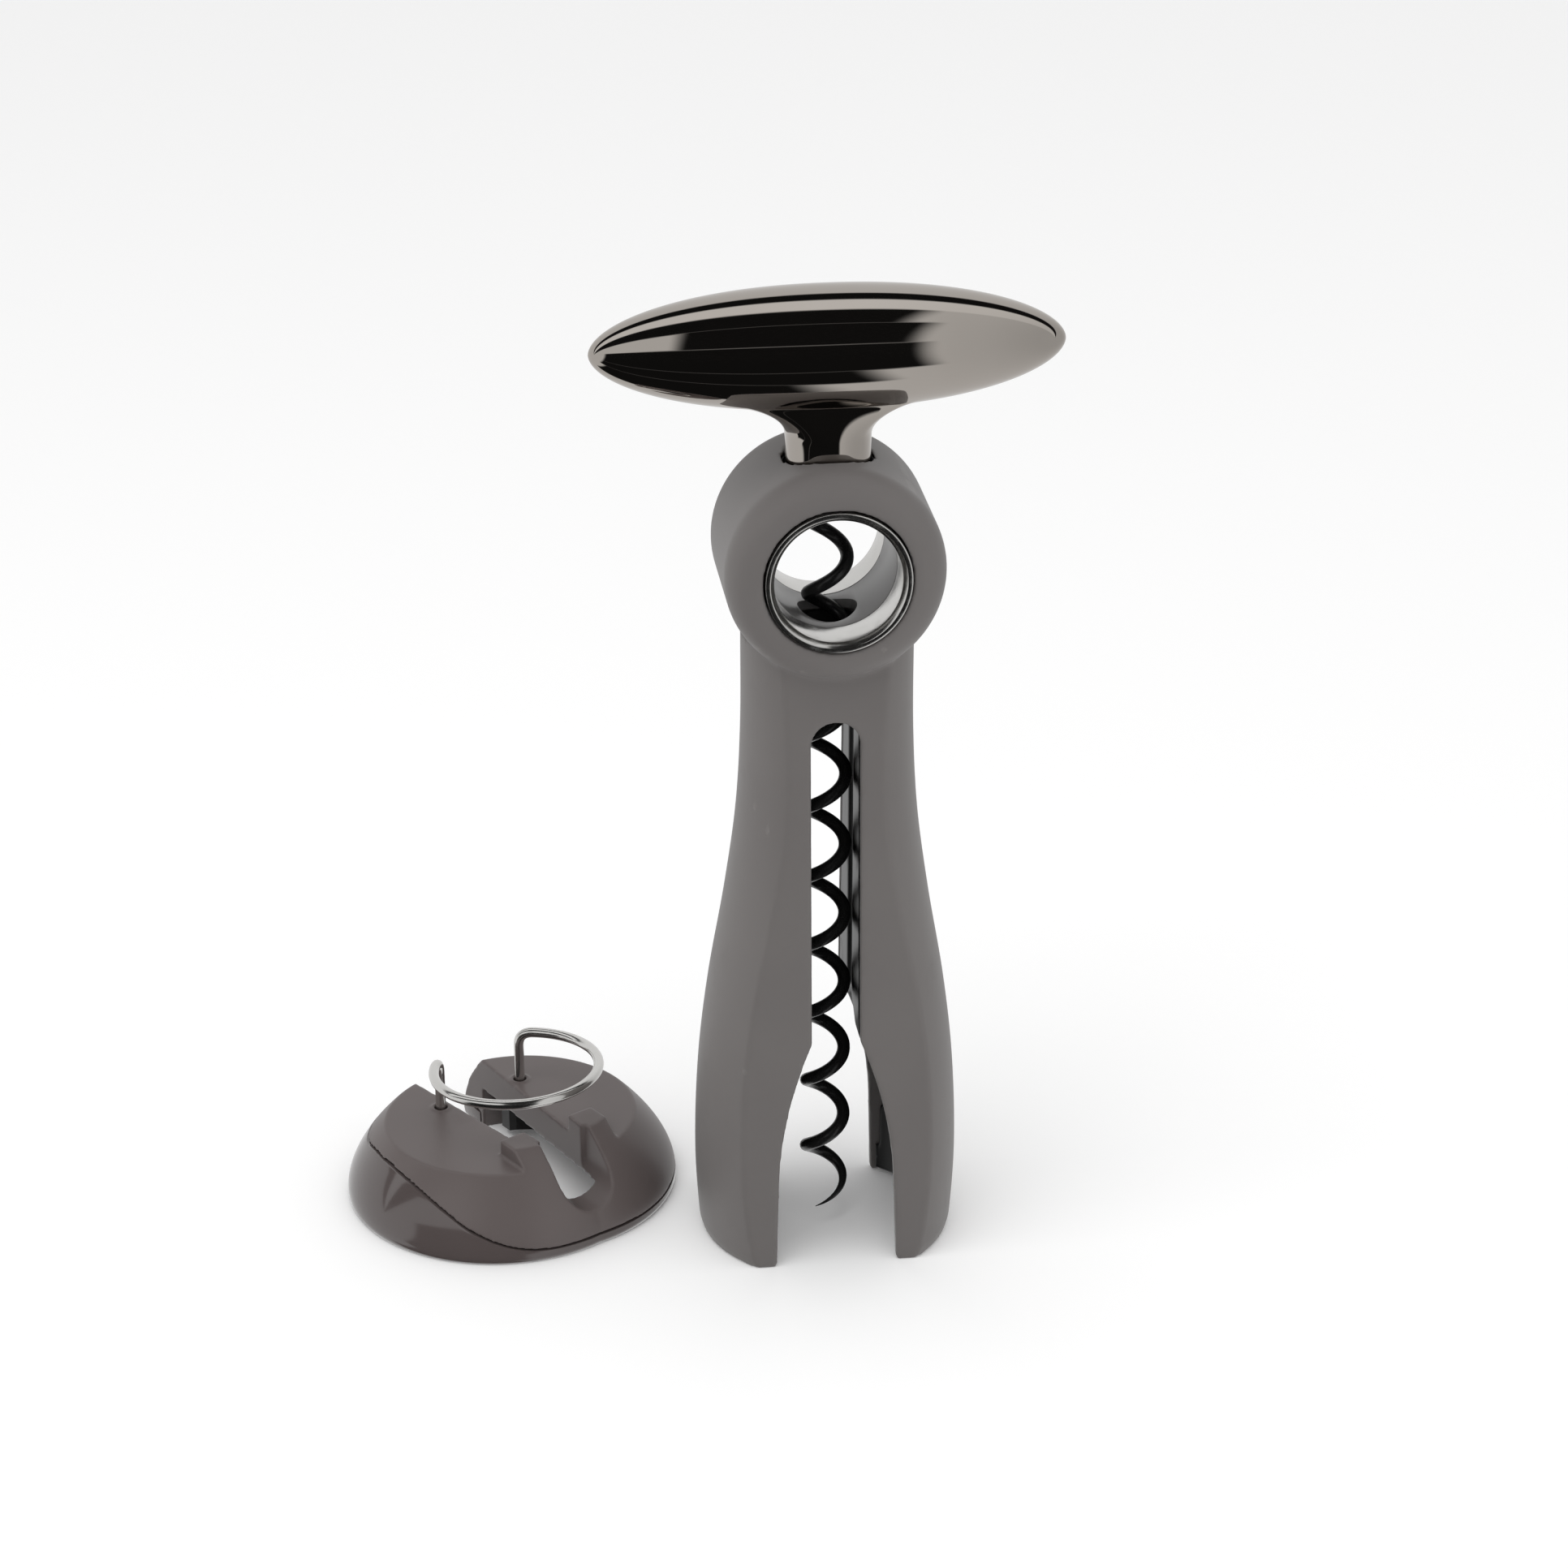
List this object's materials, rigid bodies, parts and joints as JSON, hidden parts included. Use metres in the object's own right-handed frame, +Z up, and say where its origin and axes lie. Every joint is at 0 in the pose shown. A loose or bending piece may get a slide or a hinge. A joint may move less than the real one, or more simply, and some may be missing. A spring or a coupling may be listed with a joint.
{
  "type": "corkscrew with foil cutter",
  "caption": "T-handle twist corkscrew: pierced round head, two flared legs around a coated worm, with its split domed foil cutter and dock standing beside it.",
  "frame": {"origin": "centre of the pair's footprint, on the table", "axes": "+Z up; the bore in the head runs along Y and its front looks towards -Y; the handle runs along X"},
  "size_m": [0.1282, 0.0668, 0.1796],
  "materials": {
    "body_soft_touch": "warm grey soft-touch coat",
    "handle_dark_chrome": "mirror polished, warm dark chrome",
    "polished_steel": "polished",
    "sleeve_satin_grey": "satin",
    "liner_gloss_black": "gloss black",
    "worm_black_coating": "low-friction black coating, semi-gloss",
    "hub_steel": "turned",
    "blade_steel": "ground",
    "cutter_satin": "satin brown grey",
    "cutter_gloss": "gloss brown grey"
  },
  "bodies": {
    "corkscrew_body": {"body_shell": "body_soft_touch", "front_bore_ring": "polished_steel", "rear_bore_ring": "polished_steel", "bore_sleeve": "sleeve_satin_grey", "worm_guide": "liner_gloss_black", "left_leg_liner": "liner_gloss_black", "right_leg_liner": "liner_gloss_black"},
    "turning_bush": {"neck_bush": "liner_gloss_black"},
    "handle_and_worm": {"handle": "handle_dark_chrome", "worm_hub": "hub_steel", "worm": "worm_black_coating"},
    "cutter_left_jaw": {"cutter_upper_left": "cutter_satin", "cutter_lower_left": "cutter_gloss", "wheel_carrier_left": "liner_gloss_black", "wheel_axle_left_front": "polished_steel", "wheel_axle_left_back": "polished_steel", "spring_wire": "polished_steel"},
    "cutter_right_jaw": {"cutter_upper_right": "cutter_satin", "cutter_lower_right": "cutter_gloss", "wheel_carrier_right": "liner_gloss_black", "wheel_axle_right_front": "polished_steel", "wheel_axle_right_back": "polished_steel"},
    "wheel_left_front": {"cutting_wheel_left_front": "blade_steel"},
    "wheel_left_back": {"cutting_wheel_left_back": "blade_steel"},
    "wheel_right_front": {"cutting_wheel_right_front": "blade_steel"},
    "wheel_right_back": {"cutting_wheel_right_back": "blade_steel"}
  },
  "joints": [
    {"name": "handle_turn", "type": "hinge", "parent": "corkscrew_body", "child": "turning_bush", "pos_m": [0.02349, -0.01592, 0.148], "axis": [0, 0, 1], "continuous": true},
    {"name": "handle_lift", "type": "slide", "parent": "turning_bush", "child": "handle_and_worm", "axis": [0, 0, 1], "range_m": [0, 0.14]},
    {"name": "cutter_lift", "type": "slide", "parent": "corkscrew_body", "child": "cutter_left_jaw", "axis": [0, 0, 1], "range_m": [0, 0.12]},
    {"name": "cutter_squeeze", "type": "hinge", "parent": "cutter_left_jaw", "child": "cutter_right_jaw", "pos_m": [-0.02265, -0.01419, 0.007], "axis": [0, 0, 1], "range_deg": [0, 8], "stiffness_Nm_per_rad": 0.4, "deforming": ["spring_wire"]},
    {"name": "wheel_spin_left_front", "type": "hinge", "parent": "cutter_left_jaw", "child": "wheel_left_front", "pos_m": [-0.0415, -0.0141, 0.0052], "axis": [0, 0, 1], "continuous": true},
    {"name": "wheel_spin_left_back", "type": "hinge", "parent": "cutter_left_jaw", "child": "wheel_left_back", "pos_m": [-0.05254, 0.00426, 0.0052], "axis": [0, 0, 1], "continuous": true},
    {"name": "wheel_spin_right_front", "type": "hinge", "parent": "cutter_right_jaw", "child": "wheel_right_front", "pos_m": [-0.01388, 0.0025, 0.0052], "axis": [0, 0, 1], "continuous": true},
    {"name": "wheel_spin_right_back", "type": "hinge", "parent": "cutter_right_jaw", "child": "wheel_right_back", "pos_m": [-0.02492, 0.02086, 0.0052], "axis": [0, 0, 1], "continuous": true}
  ]
}
